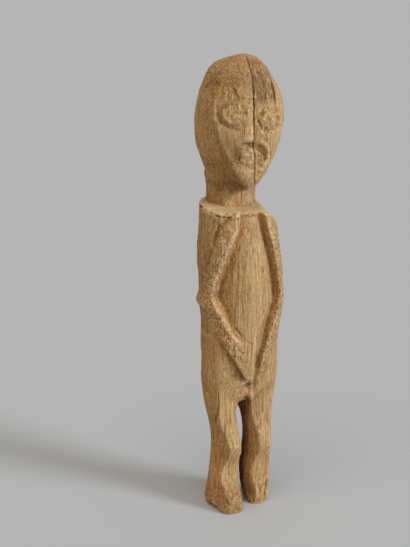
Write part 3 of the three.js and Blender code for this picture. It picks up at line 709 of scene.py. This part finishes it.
def both(first, second):
    """One share of another."""
    node = tree.nodes.new("ShaderNodeMath")
    node.operation = "MULTIPLY"
    tree.links.new(first, node.inputs[0])
    tree.links.new(second, node.inputs[1])
    return node.outputs["Value"]


def age(name):
    """How much of one of the coats of age, and of painted light and shade, each place has."""
    node = tree.nodes.new("ShaderNodeAttribute")
    node.attribute_name = name
    return node.outputs["Fac"]


def stained(under, share, colour):
    """The colour under, with a stain laid over it by its share."""
    node = tree.nodes.new("ShaderNodeMix")
    node.data_type = "RGBA"
    tree.links.new(share, node.inputs["Factor"])
    if isinstance(under, tuple):
        node.inputs[6].default_value = under
    else:
        tree.links.new(under, node.inputs[6])
    node.inputs[7].default_value = colour
    return node.outputs[2]


speckled = between(age("grit"), 0, 1, 0.38, 1.2)
open_grain = between(age("patina_and_shade"), 0, 1, 1, 0.4)
mottle = figured((620, 620, 380))
pores = figured((1100, 1100, 460), 2)
# Of these, the pale, brown, orange and dark coats carry painted light and shade as well as wear, skin,
# rust and dirt.
stains = (
    (between(figured((60, 60, 30)), 0.42, 0.64), DEEP_TAN),
    (both(age("patina_and_shade"), between(figured((120, 120, 60)), 0.3, 0.55, 0.7, 1)), BROWN),
    (both(age("rusty_and_warm_shade"), between(figured((150, 150, 70)), 0.35, 0.6, 0.45, 0.95)), RUST_AND_WARM_SHADE),
    (between(figured((500, 500, 14)), 0.54, 0.7, 0, 0.35), BROWN),
    (between(figured((500, 500, 12), 2), 0.46, 0.34, 0, 0.3), PALE),
    (age("paled_and_lit"), PALE),
    (both(speckled, between(mottle, 0.53, 0.66, 0, 0.7)), DARK),
    (both(speckled, between(mottle, 0.46, 0.34, 0, 0.55)), PALE),
    (age("grime_and_shade"), GRIME_AND_SHADE),
    (both(open_grain, between(figured((1000, 1000, 26)), 0.54, 0.66, 0, 0.75)), DARK),
    (both(open_grain, between(figured((900, 900, 34)), 0.46, 0.35, 0, 0.5)), PALE),
    (both(speckled, between(pores, 0.56, 0.67, 0, 0.85)), DARK),
    (both(speckled, between(pores, 0.43, 0.34, 0, 0.5)), PALE),
    (both(age("dry"), between(figured((420, 420, 30)), 0.35, 0.6, 0.35, 0.8)), GREY),
)
tint = TAN
for share, colour in stains:
    tint = stained(tint, share, colour)
tree.links.new(tint, shader.inputs["Base Color"])
tree.links.new(between(figured((220, 220, 40)), 0.3, 0.7, 0.74, 0.94), shader.inputs["Roughness"])
shader.inputs["Specular IOR Level"].default_value = 0.12

fibre = tree.nodes.new("ShaderNodeBump")
fibre.inputs["Strength"].default_value = FIBRE_STRENGTH
fibre.inputs["Distance"].default_value = FIBRE_HEIGHT
tree.links.new(both(figured((1500, 1500, 60), 4), pores), fibre.inputs["Height"])
tree.links.new(fibre.outputs["Normal"], shader.inputs["Normal"])

figure.data.materials.clear()
figure.data.materials.append(wood)
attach(figure, "root")
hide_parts("carved_figure")

# The floor that the figure stands on, for the picture alone. It is plain and pale, and so wide that its
# edges stay out of the picture.
REACH = 150  # m from the figure to the floor's edges
FLOOR_GREY = (0.445, 0.46, 0.495, 1)
floor_mesh = bpy.data.meshes.new("floor")
corners = [(-REACH, -REACH, 0), (REACH, -REACH, 0), (REACH, REACH, 0), (-REACH, REACH, 0)]
floor_mesh.from_pydata(corners, [], [(0, 1, 2, 3)])
floor = bpy.data.objects.new("floor", floor_mesh)
bpy.context.scene.collection.objects.link(floor)
pale_floor = bpy.data.materials.new("pale_floor")
pale_floor.use_nodes = True
pale_floor.node_tree.nodes["Principled BSDF"].inputs["Base Color"].default_value = FLOOR_GREY
pale_floor.node_tree.nodes["Principled BSDF"].inputs["Roughness"].default_value = 0.9
floor_mesh.materials.append(pale_floor)

# The light. It is soft: a window on the viewer's right, light from overhead, a warm bounce from the left,
# and a grey room all round.
ROOM_GREY = (0.46, 0.43, 0.38, 1)
bpy.context.scene.view_settings.view_transform = "Standard"
world = bpy.data.worlds.new("studio")
world.use_nodes = True
world.node_tree.nodes["Background"].inputs["Color"].default_value = ROOM_GREY
world.node_tree.nodes["Background"].inputs["Strength"].default_value = 0.8
bpy.context.scene.world = world


def soft_light(name, side, spread, strength, colour):
    """Light that comes evenly from one side, as from a window that seems spread degrees wide."""
    lamp = bpy.data.lights.new(name, "SUN")
    lamp.angle = math.radians(spread)
    lamp.energy = strength
    lamp.color = colour
    holder = bpy.data.objects.new(name, lamp)
    holder.rotation_euler = (-Vector(side)).to_track_quat("-Z", "Y").to_euler()
    bpy.context.scene.collection.objects.link(holder)


soft_light("window", (1.4, -1.35, 0.75), 18, 2.75, (0.95, 1, 1.07))
soft_light("skylight", (-0.3, -0.7, 1.9), 40, 0.9, (1, 0.99, 0.88))
soft_light("bounce", (-1.7, -0.6, 0.4), 60, 0.85, (1, 0.83, 0.54))

# The camera. It looks a little down on the figure, from the left of its front and just over a metre away,
# and is turned so that the figure's middle falls on its own place in the picture.
AZIMUTH, ELEVATION, DISTANCE = math.radians(-20), math.radians(16), 1.15
AIM = Vector((0.0004, 0.0012, 0.25))  # m, the figure's middle
AIM_PIXEL = (240, 289)
WIDTH, HEIGHT = 410, 547
lens = bpy.data.cameras.new("camera")
lens.lens = 70
lens.sensor_width = 36
camera = bpy.data.objects.new("camera", lens)
bpy.context.scene.collection.objects.link(camera)
level = math.cos(ELEVATION)
back = Vector((math.sin(AZIMUTH) * level, -math.cos(AZIMUTH) * level, math.sin(ELEVATION)))
camera.location = AIM + back * DISTANCE
focal = HEIGHT * lens.lens / lens.sensor_width
turn = math.atan2(AIM_PIXEL[0] - WIDTH / 2, focal * level)
tip = math.atan2(AIM_PIXEL[1] - HEIGHT / 2, focal)
camera.rotation_euler = (math.radians(90) - ELEVATION + tip, 0, AZIMUTH + turn)
bpy.context.scene.camera = camera
